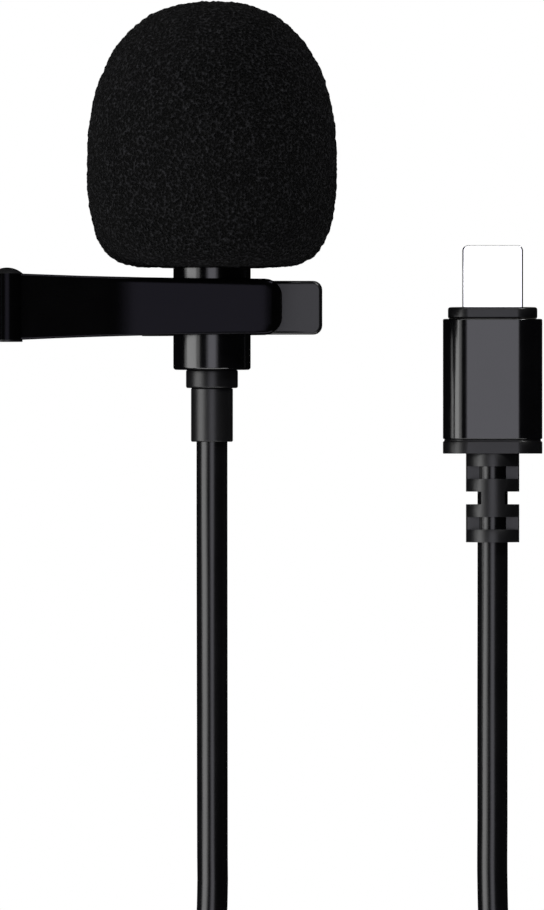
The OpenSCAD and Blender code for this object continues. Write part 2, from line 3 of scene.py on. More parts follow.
import bmesh
import bpy
import numpy as np
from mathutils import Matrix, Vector


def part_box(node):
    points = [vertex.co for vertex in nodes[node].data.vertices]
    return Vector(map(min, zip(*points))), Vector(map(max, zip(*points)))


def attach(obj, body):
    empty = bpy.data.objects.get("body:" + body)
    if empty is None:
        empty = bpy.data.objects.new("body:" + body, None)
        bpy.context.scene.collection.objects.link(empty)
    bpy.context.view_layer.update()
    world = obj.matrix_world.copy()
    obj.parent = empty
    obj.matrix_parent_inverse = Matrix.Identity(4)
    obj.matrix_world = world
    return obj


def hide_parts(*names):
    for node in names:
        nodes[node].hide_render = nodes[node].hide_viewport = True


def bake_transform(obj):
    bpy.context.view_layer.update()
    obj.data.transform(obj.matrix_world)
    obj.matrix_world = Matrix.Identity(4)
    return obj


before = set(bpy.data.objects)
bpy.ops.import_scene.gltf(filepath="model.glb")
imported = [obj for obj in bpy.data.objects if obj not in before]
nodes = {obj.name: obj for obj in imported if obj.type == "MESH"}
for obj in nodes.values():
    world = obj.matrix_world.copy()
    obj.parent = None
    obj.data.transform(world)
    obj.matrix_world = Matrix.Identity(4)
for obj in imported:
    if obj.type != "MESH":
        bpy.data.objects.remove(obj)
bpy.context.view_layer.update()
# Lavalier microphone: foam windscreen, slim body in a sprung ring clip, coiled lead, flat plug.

MM = 0.001
scene = bpy.context.scene

# ---------------------------------------------------------------------------------------------
# Camera: straight above the table, with a long lens, so that near and far pieces keep their size.
# ---------------------------------------------------------------------------------------------
LENS = 500
SENSOR = 36
VIEW_HEIGHT = 100.1 * MM
VIEW_CENTRE = (18.59 * MM, -25.65 * MM)
SHARP_PLANE = 11 * MM

bpy.ops.object.camera_add(
    location=(*VIEW_CENTRE, SHARP_PLANE + LENS * VIEW_HEIGHT / SENSOR), rotation=(0, 0, 0)
)
camera = bpy.context.object
camera.data.lens = LENS
camera.data.sensor_width = SENSOR
camera.data.clip_start = 0.05
camera.data.clip_end = 20
scene.camera = camera

# ---------------------------------------------------------------------------------------------
# Lead: 1.5 m of thin two-core screened cable in a soft black jacket, pressed out smooth. It comes
# out of the microphone's boot, sinks to the table, and its spare length is wound into a tied coil.
# ---------------------------------------------------------------------------------------------
CORD_D = 3.4 * MM
MIC_ROUTE = [
    (12, -20, 13.8), (12, -24.2, 13.8), (12, -28, 13.8), (12, -32, 13.6), (12, -36, 13),
    (12, -41, 11.7), (12, -46, 10.2), (12, -51, 8.7), (12, -56, 7.1), (12, -61, 5.6),
    (12, -66, 4.1), (12, -70, 3), (12, -74, 2.2), (11.7, -78.5, 1.8), (10.1, -83.7, 1.7),
    (7.6, -88, 1.7), (5.2, -92.2, 1.7),
]
PLUG_ROUTE = [
    (49.6, -92.2, 4.6), (47.2, -88, 3.9), (44.8, -83.7, 2.6), (43.3, -78.5, 1.9), (43, -73, 1.7),
    (43, -66, 1.7), (43, -59, 1.7), (43, -53, 1.8), (43, -48, 2.1), (43, -43, 2.6),
    (43, -39, 2.9), (43, -35.3, 3), (43, -30, 3), (43, -25.5, 3),
]
COIL_AT = (27.4, -105)
COIL_IN_AT = 150     # the lead joins the coil here, in degrees from +X
COIL_OUT_AT = 30     # and leaves it here
TIE_AT = 270

TIE_REACH = 22       # the turns are squeezed together this many degrees to each side of the tie

# where each turn lies in the bundle: its radius, and which layer it is in
LAYER_Z = [1.7, 4.64, 7.58]
TURNS = [
    (23.9, 0), (20.5, 0), (17.1, 0), (13.7, 0), (15.4, 1), (18.8, 1), (22.2, 1), (23.9, 2),
    (20.5, 2), (17.1, 2), (25.6, 1),
]
# how a turn passes to the next one, where that isn't straight: share of the way, radius, height
CROSSINGS = {
    3: [(0.45, 13.5, 4.7)],
    6: [(0.4, 25.2, 4.9), (0.75, 24.9, 6.9)],
    9: [(0.3, 18.6, 10.6), (0.6, 24, 11.1), (0.85, 27.4, 7.4)],
}


def eased(t):
    return t * t * (3 - 2 * t)


def crossing(turn, share):
    """Radius and height, part of the way from one turn's place to the next one's."""
    (r0, layer0), (r1, layer1) = TURNS[turn], TURNS[turn + 1]
    keys = [(0, r0, LAYER_Z[layer0]), *CROSSINGS.get(turn, []), (1, r1, LAYER_Z[layer1])]
    for (t0, ra, za), (t1, rb, zb) in zip(keys, keys[1:]):
        if share <= t1:
            t = eased((share - t0) / (t1 - t0))
            lift = 0.5 * max(layer0, layer1) * math.sin(math.pi * share)
            return ra + (rb - ra) * t, za + (zb - za) * t + lift
    return r1, LAYER_Z[layer1]


def coil_points(step=7.5):
    """Points along every turn of the coil, squeezed together under the tie."""
    main = 360 - COIL_IN_AT + COIL_OUT_AT
    gap = 360 - main
    middle = sum(r for r, _ in TURNS) / len(TURNS)
    for turn, (radius, layer) in enumerate(TURNS):
        places = [(a, radius, LAYER_Z[layer]) for a in np.arange(0, main + 0.1, step)]
        if turn < len(TURNS) - 1:
            places += [(main + a, *crossing(turn, a / gap)) for a in np.arange(step, gap - 0.1, step)]
        for along, r, z in places:
            if turn == 0:
                r += 1.7 * (1 - eased(min(1, along / 60)))
            tight = math.exp(-(((along + COIL_IN_AT - TIE_AT) / TIE_REACH) ** 2))
            r += (middle - r) * 0.07 * tight
            z += (0.9 - (z - LAYER_Z[0]) * 0.1) * tight
            a = math.radians(along + COIL_IN_AT)
            yield (COIL_AT[0] + r * math.cos(a), COIL_AT[1] + r * math.sin(a), z)


def smooth_line(points, spacing):
    """A line through the points, rounded between them, with a point about every spacing."""
    p = [Vector(q) for q in points]
    p = [2 * p[0] - p[1], *p, 2 * p[-1] - p[-2]]
    line = []
    for a, b, c, d in zip(p, p[1:], p[2:], p[3:]):
        count = max(1, round((c - b).length / spacing))
        for i in range(count):
            t = i / count
            line.append(
                0.5 * (2 * b + (c - a) * t + (2 * a - 5 * b + 4 * c - d) * t**2
                       + (3 * b - a - 3 * c + d) * t**3)
            )
    return [*line, p[-2]]


def wire_along(name, points, radius, resolution=5):
    """A round wire or cord along the points, which are in millimetres."""
    data = bpy.data.curves.new(name, "CURVE")
    data.dimensions = "3D"
    data.bevel_depth = radius
    data.bevel_resolution = resolution
    data.use_fill_caps = True
    spline = data.splines.new("POLY")
    spline.points.add(len(points) - 1)
    for place, q in zip(spline.points, points):
        place.co = (*(Vector(q) * MM), 1)
    spline.use_smooth = True
    piece = bpy.data.objects.new(name, data)
    scene.collection.objects.link(piece)
    return piece


def linear(hex_colour):
    """An sRGB hex colour as linear red, green, blue and alpha."""
    parts = [int(hex_colour[i:i + 2], 16) / 255 for i in (1, 3, 5)]
    return (*[c / 12.92 if c <= 0.04045 else ((c + 0.055) / 1.055) ** 2.4 for c in parts], 1)


def add(tree, kind, inputs=None, **settings):
    """Adds a node; an input is a value, or the output socket that feeds it."""
    node = tree.nodes.new(kind)
    for key, value in settings.items():
        setattr(node, key, value)
    for key, value in (inputs or {}).items():
        if isinstance(value, bpy.types.NodeSocket):
            tree.links.new(value, node.inputs[key])
        else:
            node.inputs[key].default_value = value
    return node


def new_material(name):
    """An empty material, its node tree and the Object coordinates that its patterns read."""
    material = bpy.data.materials.new(name)
    material.use_nodes = True
    tree = material.node_tree
    tree.nodes.clear()
    return material, tree, add(tree, "ShaderNodeTexCoord").outputs["Object"]


def surface(tree, inputs, bump=None, strength=0.2, distance=0.05 * MM):
    """Ends a material in a principled shader, with a bump from the height socket."""
    if bump is not None:
        inputs["Normal"] = add(
            tree, "ShaderNodeBump", {"Height": bump, "Strength": strength, "Distance": distance}
        ).outputs["Normal"]
    shader = add(tree, "ShaderNodeBsdfPrincipled", inputs)
    add(tree, "ShaderNodeOutputMaterial", {"Surface": shader.outputs["BSDF"]})


def ramped(tree, value, low, high):
    """Spreads a 0 to 1 value between low and high."""
    return add(
        tree, "ShaderNodeMapRange", {"Value": value, "To Min": low, "To Max": high}
    ).outputs["Result"]


# Soft PVC-like elastomer, extruded: deep black, a smooth semi-gloss skin with the faint ripple
# and handling marks of a cable jacket.
def jacket_material():
    material, tree, at = new_material("extruded_elastomer_jacket")
    ripple = add(tree, "ShaderNodeTexNoise", {"Vector": at, "Scale": 1 / (0.9 * MM), "Detail": 3.0})
    marks = add(tree, "ShaderNodeTexNoise", {"Vector": at, "Scale": 1 / (5 * MM), "Detail": 5.0})
    tint = add(tree, "ShaderNodeValToRGB", {"Fac": marks.outputs["Fac"]})
    tint.color_ramp.elements[0].color = linear("#060607")
    tint.color_ramp.elements[1].color = linear("#0c0c0d")
    surface(
        tree,
        {"Base Color": tint.outputs["Color"],
         "Roughness": ramped(tree, marks.outputs["Fac"], 0.17, 0.27), "IOR": 1.5},
        ripple.outputs["Fac"], 0.1, 0.01 * MM,
    )
    return material


def dress(piece, material, body, slot_name, *stands_for):
    """Gives a finished piece its material and its body, and hides the CAD nodes it stands for. Its slot
    name is not used.
    """
    piece.data.materials.clear()
    piece.data.materials.append(material)
    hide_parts(*stands_for)
    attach(piece, body)
    return piece


mic_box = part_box("mic_body")
MIC_X = (mic_box[0].x + mic_box[1].x) / 2
MIC_Z = (mic_box[0].z + mic_box[1].z) / 2
boot_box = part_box("mic_boot")

route = [*MIC_ROUTE[:-1], *coil_points(), *PLUG_ROUTE[1:]]
lead = wire_along("lead", smooth_line(route, 1.3), CORD_D / 2)
dress(lead, jacket_material(), "microphone", "cord_jacket",
      "cord_mic_end", "cord_coil", "cord_plug_end")

# ---------------------------------------------------------------------------------------------
# Tie: a hook-and-loop strap, woven in black polyester, pulled round the coil and pressed down on
# itself, so that its free end lies a strap's thickness higher.
# ---------------------------------------------------------------------------------------------
TIE_T = 0.8 * MM
SQUARENESS = 3.5     # of the strap's loop: 2 would be an oval


def deselect():
    if bpy.context.mode != "OBJECT":
        bpy.ops.object.mode_set(mode="OBJECT")
    bpy.ops.object.select_all(action="DESELECT")


def placed(name):
    """Names the primitive just added, and puts its place into its mesh."""
    piece = bpy.context.object
    piece.name = piece.data.name = name
    bpy.ops.object.transform_apply(location=True, rotation=True, scale=True)
    return piece


def edit(piece):
    deselect()
    piece.select_set(True)
    bpy.context.view_layer.objects.active = piece
    bpy.ops.object.mode_set(mode="EDIT")


def pick(piece, kind, test):
    """In edit mode, selects the vertices, edges or faces that pass the test."""
    bpy.ops.mesh.select_mode(type=kind)
    bpy.ops.mesh.select_all(action="DESELECT")
    mesh = bmesh.from_edit_mesh(piece.data)
    for item in {"VERT": mesh.verts, "EDGE": mesh.edges, "FACE": mesh.faces}[kind]:
        if test(item):
            item.select_set(True)
    mesh.select_flush_mode()
    bmesh.update_edit_mesh(piece.data)


def modify(piece, kind, **settings):
    """Adds a modifier and applies it."""
    deselect()
    piece.select_set(True)
    bpy.context.view_layer.objects.active = piece
    modifier = piece.modifiers.new(kind.lower(), kind)
    for key, value in settings.items():
        setattr(modifier, key, value)
    bpy.ops.object.modifier_apply(modifier=modifier.name)


def round_edges(piece, width, segments=3, angle=35):
    modify(piece, "BEVEL", width=width, segments=segments, limit_method="ANGLE",
           angle_limit=math.radians(angle), use_clamp_overlap=True, harden_normals=False)


def round_where(piece, width, test, segments=3):
    """Rounds the sharp edges that pass the test."""
    edit(piece)
    pick(piece, "EDGE", lambda e: len(e.link_faces) == 2
         and e.calc_face_angle(0) > math.radians(35) and test(e))
    bpy.ops.mesh.bevel(offset=width, segments=segments, affect="EDGES", clamp_overlap=False)
    bpy.ops.object.mode_set(mode="OBJECT")


def smooth(piece, angle=32):
    """Smooth shading that leaves large faces flat, so that only the rounds between them bend."""
    deselect()
    piece.select_set(True)
    bpy.context.view_layer.objects.active = piece
    bpy.ops.object.shade_smooth_by_angle(angle=math.radians(angle))
    modify(piece, "WEIGHTED_NORMAL", keep_sharp=True, weight=80)


# Woven polyester: matt black ribs across the strap, with the loops' fuzz. Real ribs are 0.6 mm
# apart; they are drawn 1.25 mm apart so that they show.
def strap_material():
    material, tree, at = new_material("woven_hook_and_loop")
    ribs = add(tree, "ShaderNodeTexWave", {"Vector": at, "Scale": 1 / (4 * MM), "Distortion": 0.6},
               bands_direction="X")
    fuzz = add(tree, "ShaderNodeTexNoise", {"Vector": at, "Scale": 1 / (0.35 * MM), "Detail": 4.0})
    height = add(tree, "ShaderNodeMath", {0: ribs.outputs["Fac"], 1: fuzz.outputs["Fac"]},
                 operation="ADD")
    tint = add(tree, "ShaderNodeValToRGB", {"Fac": fuzz.outputs["Fac"]})
    tint.color_ramp.elements[0].color = linear("#0a0a0b")
    tint.color_ramp.elements[1].color = linear("#1e1e20")
    surface(
        tree,
        {"Base Color": tint.outputs["Color"], "Roughness": 0.85, "Sheen Weight": 0.12,
         "Sheen Roughness": 0.4},
        height.outputs["Value"], 0.7, 0.12 * MM,
    )
    return material


def make_tie():
    low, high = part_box("cord_tie")
    centre = (low + high) / 2
    size = high - low
    deselect()
    bpy.ops.mesh.primitive_cylinder_add(
        vertices=72, radius=1, depth=size.x, end_fill_type="NOTHING", location=centre,
        rotation=(0, math.pi / 2, 0),
    )
    piece = placed("coil_tie")
    for vertex in piece.data.vertices:
        across, up = vertex.co.y - centre.y, vertex.co.z - centre.z
        corner = (abs(across) ** SQUARENESS + abs(up) ** SQUARENESS) ** (1 / SQUARENESS)
        vertex.co.y = centre.y + across / corner * (size.y / 2 - TIE_T)
        vertex.co.z = centre.z + up / corner * (size.z / 2 - TIE_T)
    modify(piece, "SOLIDIFY", thickness=TIE_T, offset=1)
    # the free end is pressed down over the strap, on top of the coil
    deselect()
    bpy.ops.mesh.primitive_cube_add(
        size=1, location=(centre.x, centre.y + 0.1 * size.y, high.z + TIE_T * 0.45),
        scale=(size.x * 0.96, size.y * 0.5, TIE_T),
    )
    flap = placed("flap")
    edit(flap)
    bpy.ops.mesh.subdivide(number_cuts=6)
    pick(flap, "VERT", lambda v: v.co.y > centre.y + 0.3 * size.y)
    bpy.ops.transform.translate(value=(0, 0, -0.25 * MM))
    bpy.ops.object.mode_set(mode="OBJECT")
    deselect()
    flap.select_set(True)
    piece.select_set(True)
    bpy.context.view_layer.objects.active = piece
    bpy.ops.object.join()
    round_edges(piece, 0.18 * MM, 2)
    smooth(piece)
    return dress(piece, strap_material(), "microphone", "hook_and_loop", "cord_tie")


tie = make_tie()

# ---------------------------------------------------------------------------------------------
# Plug: a flat steel tab in a black collar, a glossy barrel of black anodised aluminium, a moulded
# rear ring, and a ribbed strain relief that bends with the lead.
# ---------------------------------------------------------------------------------------------


def bar(name, box, sides=96, ends=0.0):
    """An oval or round bar along Y that fills the box, its ends shortened by a margin."""
    low, high = box
    thick = high.z - low.z
    spare = (high.x - low.x - thick) / 2
    centre = (low + high) / 2
    deselect()
    bpy.ops.mesh.primitive_cylinder_add(
        vertices=sides, radius=thick / 2, depth=high.y - low.y - 2 * ends, location=centre,
        rotation=(math.pi / 2, 0, 0),
    )
    piece = placed(name)
    edit(piece)
    for side in (-1, 1):
        pick(piece, "VERT", lambda v: (v.co.x - centre.x) * side > 1e-6)
        bpy.ops.transform.translate(value=(side * spare, 0, 0))
    bpy.ops.object.mode_set(mode="OBJECT")
    return piece


def face_to(piece, direction, inset, depth):
    """Sinks the end face that looks along direction: a rim is left, and its middle goes in."""
    edit(piece)
    way = Vector(direction)
    mesh = bmesh.from_edit_mesh(piece.data)
    end = max(f.calc_center_median().dot(way) for f in mesh.faces)
    pick(piece, "FACE",
         lambda f: f.normal.dot(way) > 0.9 and f.calc_center_median().dot(way) > end - 1e-6)
    bpy.ops.mesh.inset(thickness=inset)
    bpy.ops.mesh.extrude_region_move(TRANSFORM_OT_translate={"value": way * -depth})
    bpy.ops.object.mode_set(mode="OBJECT")


# Black anodised aluminium, polished before it was dyed: a hard glossy film, almost black, with
# very faint turning marks round it.
def anodised_material():
    material, tree, at = new_material("polished_black_anodised_aluminium")
    turning = add(tree, "ShaderNodeMapping", {"Vector": at, "Scale": (0.05, 1, 0.05)})
    lines = add(tree, "ShaderNodeTexNoise",
                {"Vector": turning.outputs["Vector"], "Scale": 1 / (0.12 * MM), "Detail": 2.0})
    marks = add(tree, "ShaderNodeTexNoise", {"Vector": at, "Scale": 1 / (3 * MM), "Detail": 6.0})
    tint = add(tree, "ShaderNodeValToRGB", {"Fac": marks.outputs["Fac"]})
    tint.color_ramp.elements[0].color = linear("#030304")
    tint.color_ramp.elements[1].color = linear("#070708")
    surface(
        tree,
        {"Base Color": tint.outputs["Color"],
         "Roughness": ramped(tree, marks.outputs["Fac"], 0.1, 0.2), "IOR": 1.6},
        lines.outputs["Fac"], 0.05, 0.01 * MM,
    )
    return material


anodised = anodised_material()


# Moulded satin plastic, as from a fine spark-eroded mould: dark grey-black with a grain of about
# 0.15 mm that breaks the light up.
def satin_material(name, dark, light, rough_low, rough_high, grain=0.15, specular=0.5,
                   gloss="#ffffff"):
    material, tree, at = new_material(name)
    fine = add(tree, "ShaderNodeTexNoise", {"Vector": at, "Scale": 1 / (grain * MM), "Detail": 3.0})
    cloud = add(tree, "ShaderNodeTexNoise", {"Vector": at, "Scale": 1 / (4 * MM), "Detail": 4.0})
    tint = add(tree, "ShaderNodeValToRGB", {"Fac": cloud.outputs["Fac"]})
    tint.color_ramp.elements[0].color = linear(dark)
    tint.color_ramp.elements[1].color = linear(light)
    surface(
        tree,
        {"Base Color": tint.outputs["Color"],
         "Roughness": ramped(tree, cloud.outputs["Fac"], rough_low, rough_high), "IOR": 1.5,
         "Specular IOR Level": specular, "Specular Tint": linear(gloss)},
        fine.outputs["Fac"], 0.25, 0.02 * MM,
    )
    return material


satin_black = satin_material("satin_moulded_plastic", "#070708", "#0e0e0f", 0.28, 0.38, specular=0.41)

barrel = bar("plug_shell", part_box("plug_barrel"))
face_to(barrel, (0, 1, 0), 0.7 * MM, 0.3 * MM)
round_edges(barrel, 0.22 * MM)
smooth(barrel)
dress(barrel, anodised, "microphone", "anodised_body", "plug_barrel")

front_collar = bar("plug_front_collar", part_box("plug_collar"))
round_edges(front_collar, 0.25 * MM)
smooth(front_collar)
dress(front_collar, satin_black, "microphone", "satin_black_plastic", "plug_collar")


def make_rear_ring():
    """The ring has a narrower neck in front, which leaves a fine groove behind the barrel."""
    low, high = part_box("plug_rear_ring")
    groove = 0.25 * MM
    piece = bar("plug_ring", (low, high - Vector((0, groove, 0))))
    edit(piece)
    way = Vector((0, 1, 0))
    pick(piece, "FACE", lambda f: f.normal.dot(way) > 0.9)
    bpy.ops.mesh.inset(thickness=0.15 * MM)
    bpy.ops.mesh.extrude_region_move(TRANSFORM_OT_translate={"value": way * groove})
    bpy.ops.object.mode_set(mode="OBJECT")
    round_edges(piece, 0.12 * MM, 2)
    smooth(piece)
    return dress(piece, satin_black, "microphone", "satin_black_plastic", "plug_rear_ring")


rear_ring = make_rear_ring()


# Plated steel, polished: a bright neutral mirror, a little softened by fine wipe marks along it.
def tab_material():
    material, tree, at = new_material("polished_plated_steel")
    along = add(tree, "ShaderNodeMapping", {"Vector": at, "Scale": (1, 0.06, 1)})
    wipes = add(tree, "ShaderNodeTexNoise",
                {"Vector": along.outputs["Vector"], "Scale": 1 / (0.1 * MM), "Detail": 3.0})
    surface(
        tree,
        {"Base Color": linear("#f0f0f1"), "Metallic": 1.0,
         "Roughness": ramped(tree, wipes.outputs["Fac"], 0.12, 0.22)},
        wipes.outputs["Fac"], 0.05, 0.01 * MM,
    )
    return material


TAB_CORNER = 0.6 * MM
TAB_EDGE = 0.17 * MM
POCKET_GAP = 0.02 * MM


def make_tab():
    """A flat bar with rounded front corners and edges; its underside is pocketed."""
    low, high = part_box("plug_tab")
    centre = (low + high) / 2
    deselect()
    bpy.ops.mesh.primitive_cube_add(size=1, location=centre, scale=high - low)
    piece = placed("plug_tab_shell")
    edit(piece)
    pick(piece, "EDGE", lambda e: all(v.co.y > centre.y for v in e.verts)
         and abs(e.verts[0].co.z - e.verts[1].co.z) > 0.5 * MM)
    bpy.ops.mesh.bevel(offset=TAB_CORNER, segments=8, affect="EDGES")
    bpy.ops.object.mode_set(mode="OBJECT")
    round_edges(piece, TAB_EDGE, 4)
    pocket_low, pocket_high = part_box("contact_carrier")
    pocket = pocket_high - pocket_low + 2 * Vector((POCKET_GAP, POCKET_GAP, 0))
    pocket.z = 2 * (pocket_high.z - low.z)
    deselect()
    bpy.ops.mesh.primitive_cube_add(
        size=1, location=(centre.x, (pocket_low.y + pocket_high.y) / 2, low.z), scale=pocket
    )
    cutter = placed("pocket_cutter")
    modify(piece, "BOOLEAN", object=cutter, operation="DIFFERENCE", solver="EXACT")
    bpy.data.objects.remove(cutter)
    smooth(piece)
    return dress(piece, tab_material(), "microphone", "polished_tab", "plug_tab")


tab = make_tab()


def from_node(name, node, merge=0.0005):
    """A copy of a CAD node's mesh, its triangles merged into whole faces, ready for edge rounds."""
    piece = bpy.data.objects.new(name, nodes[node].data.copy())
    scene.collection.objects.link(piece)
    edit(piece)
    bpy.ops.mesh.customdata_custom_splitnormals_clear()
    bpy.ops.mesh.select_all(action="SELECT")
    bpy.ops.mesh.remove_doubles(threshold=merge * MM)
    bpy.ops.mesh.dissolve_limited(angle_limit=math.radians(0.5))
    bpy.ops.object.mode_set(mode="OBJECT")
    return piece


# Soft thermoplastic rubber, moulded: satin, slightly greyer than the lead, with a fine even grain.
boot_rubber = satin_material("moulded_soft_rubber", "#080809", "#101011", 0.3, 0.4, 0.2)

plug_boot = from_node("plug_strain_relief", "plug_boot")
round_edges(plug_boot, 0.16 * MM, 2, 45)
smooth(plug_boot)
dress(plug_boot, boot_rubber, "microphone", "boot_rubber", "plug_boot")


def show_node(node, material):
    """A CAD node whose shape is right keeps it, and gets a finish."""
    piece = nodes[node]
    if not piece.data.materials:
        piece.data.materials.append(material)
    for place in piece.material_slots:
        place.link = "OBJECT"
        place.material = material


# Inside the plug: gold-plated contacts, a green circuit board with its chips, a natural plastic
# frame, insulated wires and a plain steel crimp ring.
def plain_material(name, dark, light, roughness, metallic=0.0, grain=0.4, bump=0.15):
    material, tree, at = new_material(name)
    cloud = add(tree, "ShaderNodeTexNoise", {"Vector": at, "Scale": 1 / (grain * MM), "Detail": 4.0})
    tint = add(tree, "ShaderNodeValToRGB", {"Fac": cloud.outputs["Fac"]})
    tint.color_ramp.elements[0].color = linear(dark)
    tint.color_ramp.elements[1].color = linear(light)
    surface(
        tree,
        {"Base Color": tint.outputs["Color"], "Metallic": metallic,
         "Roughness": ramped(tree, cloud.outputs["Fac"], roughness, roughness + 0.1)},
        cloud.outputs["Fac"], bump, 0.01 * MM,
    )
    return material


gold = plain_material("gold_plating", "#e0b050", "#f0cc78", 0.2, 1.0)
board = plain_material("green_solder_resist", "#14503a", "#1c6648", 0.3)
chip = plain_material("moulded_epoxy", "#121213", "#1c1c1e", 0.5)
natural = plain_material("natural_moulded_plastic", "#d6d2c6", "#e4e1d8", 0.45)
wire_red = plain_material("red_wire_insulation", "#9c2018", "#b83426", 0.35)
steel = plain_material("drawn_steel", "#a8aaac", "#c2c4c6", 0.28, 1.0)
for node, material in {
    "contact_carrier": chip, "plug_contacts": gold, "plug_board": board, "plug_chips": chip,
    "plug_frame": natural, "plug_wires": wire_red, "plug_crimp": steel,
}.items():
    show_node(node, material)

# ---------------------------------------------------------------------------------------------
# Foam windscreen: moulded from open-cell polyurethane foam, full at the crown and nearly flat at
# the base, where a hole takes the microphone. Its skin is all tiny open cells.
# ---------------------------------------------------------------------------------------------
CELL = 0.75 * MM       # real cells are about 0.45 mm; drawn a little coarser so that they show
CELL_DEPTH = 0.24 * MM
GRAIN = 0.3 * MM       # the torn skins between the cells, in the bump and in the colour's painted shade and specks of light
LUMP = 3.5 * MM        # slow unevenness of the moulded block
LUMP_DEPTH = 0.3 * MM
FOAM_ROWS = 210
FOAM_COLUMNS = 380
WIDEST_AT = 10.85 * MM # above the base
CROWN_POWER = 2.4      # of the outline above the widest place: 2 would be an oval
BASE_POWER_OUT = 7     # and of the squarer outline below it
BASE_POWER_DOWN = 2.15


# Polyurethane foam, dyed black: quite matt. Its colour is painted almost black in its cells, as shade
# in their hollows, and lighter on the skins of torn cells between them, as painted fine specks of
# light.
def foam_material():
    material, tree, at = new_material("open_cell_polyurethane_foam")
    cells = add(tree, "ShaderNodeTexVoronoi", {"Vector": at, "Scale": 1 / GRAIN})
    skins = add(tree, "ShaderNodeTexNoise", {"Vector": at, "Scale": 1 / (0.26 * MM), "Detail": 3.0})
    # painted shade in the cells and painted specks of light on the skins between them
    painted_shade_and_specks = add(tree, "ShaderNodeMath", {0: cells.outputs["Distance"], 1: skins.outputs["Fac"]},
               operation="MULTIPLY")
    tint = add(tree, "ShaderNodeValToRGB", {"Fac": painted_shade_and_specks.outputs["Value"]})
    tint.color_ramp.elements[0].color = linear("#030303")
    tint.color_ramp.elements[0].position = 0.24
    tint.color_ramp.elements[1].color = linear("#2a2a2c")
    tint.color_ramp.elements[1].position = 0.62
    height = add(tree, "ShaderNodeMath", {0: cells.outputs["Distance"], 1: skins.outputs["Fac"]},
                 operation="ADD")
    surface(
        tree,
        {"Base Color": tint.outputs["Color"], "Roughness": 0.7, "Specular IOR Level": 0.06,
         "Sheen Weight": 0.008, "Sheen Roughness": 0.3},
        height.outputs["Value"], 1.0, 0.4 * MM,
    )
    return material


def make_foam():
    low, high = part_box("foam_windscreen")
    radius = (high.x - low.x) / 2
    length = high.y - low.y
    crown = length - WIDEST_AT
    middle = Vector((MIC_X, high.y - crown, MIC_Z))
    bore = (mic_box[1].x - mic_box[0].x) / 2 + 0.05 * MM
    deselect()
    bpy.ops.mesh.primitive_uv_sphere_add(
        segments=FOAM_COLUMNS, ring_count=FOAM_ROWS, radius=1, location=middle,
        rotation=(-math.pi / 2, 0, 0),
    )
    piece = placed("foam_windscreen_skin")
    # from the ball to the foam's outline: a full crown, and below it a flatter, squarer base
    for vertex in piece.data.vertices:
        out = vertex.co - middle
        round_part = min(1, math.hypot(out.x, out.z))
        angle = math.atan2(round_part, abs(out.y))
        if out.y >= 0:
            wide = math.sin(angle) ** (2 / CROWN_POWER)
            tall = crown * math.cos(angle) ** (2 / CROWN_POWER)
        else:
            wide = math.sin(angle) ** (2 / BASE_POWER_OUT)
            tall = -WIDEST_AT * math.cos(angle) ** (2 / BASE_POWER_DOWN)
        scale = radius * wide / max(round_part, 1e-9)
        vertex.co = middle + Vector((out.x * scale, tall, out.z * scale))
    edit(piece)
    pick(piece, "VERT", lambda v: v.co.y < low.y + 0.6 * MM
         and math.hypot(v.co.x - MIC_X, v.co.z - MIC_Z) < bore)
    bpy.ops.mesh.delete(type="VERT")
    bpy.ops.mesh.select_mode(type="EDGE")
    bpy.ops.mesh.select_all(action="DESELECT")
    bpy.ops.mesh.select_non_manifold()
    rim = [v for v in bmesh.from_edit_mesh(piece.data).verts if v.select]
    for vertex in rim:
        out = Vector((vertex.co.x - MIC_X, 0, vertex.co.z - MIC_Z)).normalized() * bore
        vertex.co = Vector((MIC_X + out.x, low.y, MIC_Z + out.z))
    depth = mic_box[1].y + 1.3 * MM - low.y
    for _ in range(4):
        bpy.ops.mesh.extrude_region_move(TRANSFORM_OT_translate={"value": (0, depth / 4, 0)})
    bpy.ops.mesh.edge_face_add()
    bpy.ops.mesh.select_all(action="SELECT")
    bpy.ops.mesh.normals_make_consistent(inside=False)
    bpy.ops.object.mode_set(mode="OBJECT")
    # open cells in the skin, shallower than they are wide; none in the bore
    skin = piece.vertex_groups.new(name="skin")
    outside = [
        v.index for v in piece.data.vertices
        if math.hypot(v.co.x - MIC_X, v.co.z - MIC_Z) > bore + 0.3 * MM or v.co.y > high.y - 6 * MM
    ]
    skin.add(outside, 1.0, "REPLACE")
    cells = bpy.data.textures.new("foam_cells", "VORONOI")
    cells.noise_scale = CELL
    cells.distance_metric = "DISTANCE"
    modify(piece, "DISPLACE", texture=cells, texture_coords="LOCAL", direction="NORMAL",
           strength=-CELL_DEPTH, mid_level=0.1, vertex_group="skin")
    lumps = bpy.data.textures.new("foam_lumps", "CLOUDS")
    lumps.noise_scale = LUMP
    modify(piece, "DISPLACE", texture=lumps, texture_coords="LOCAL", direction="NORMAL",
           strength=LUMP_DEPTH, mid_level=0.5, vertex_group="skin")
    bpy.ops.object.shade_smooth()
    dress(piece, foam_material(), "windscreen", "open_cell_foam", "foam_windscreen")


make_foam()

# ---------------------------------------------------------------------------------------------
# Microphone body: a turned aluminium tube, anodised glossy black, with a pierced cap pressed into
# its open end. A narrower collar and a soft sleeve follow it where the lead comes out.
# ---------------------------------------------------------------------------------------------
body = bar("microphone_tube", mic_box, 128)
face_to(body, (0, 1, 0), 0.7 * MM, 18 * MM)
round_edges(body, 0.3 * MM, 4, 50)
smooth(body)
dress(body, anodised, "microphone", "anodised_body", "mic_body")

collar_low, collar_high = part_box("mic_collar")
collar_high.y = mic_box[0].y
collar = bar("microphone_collar", (collar_low, collar_high))
round_edges(collar, 0.2 * MM)
smooth(collar)
dress(collar, satin_black, "microphone", "satin_black_plastic", "mic_collar")

boot = bar("microphone_boot", boot_box)
face_to(boot, (0, -1, 0), 0.58 * MM, 0.4 * MM)
round_edges(boot, 0.16 * MM)
smooth(boot)
dress(boot, boot_rubber, "microphone", "boot_rubber", "mic_boot")

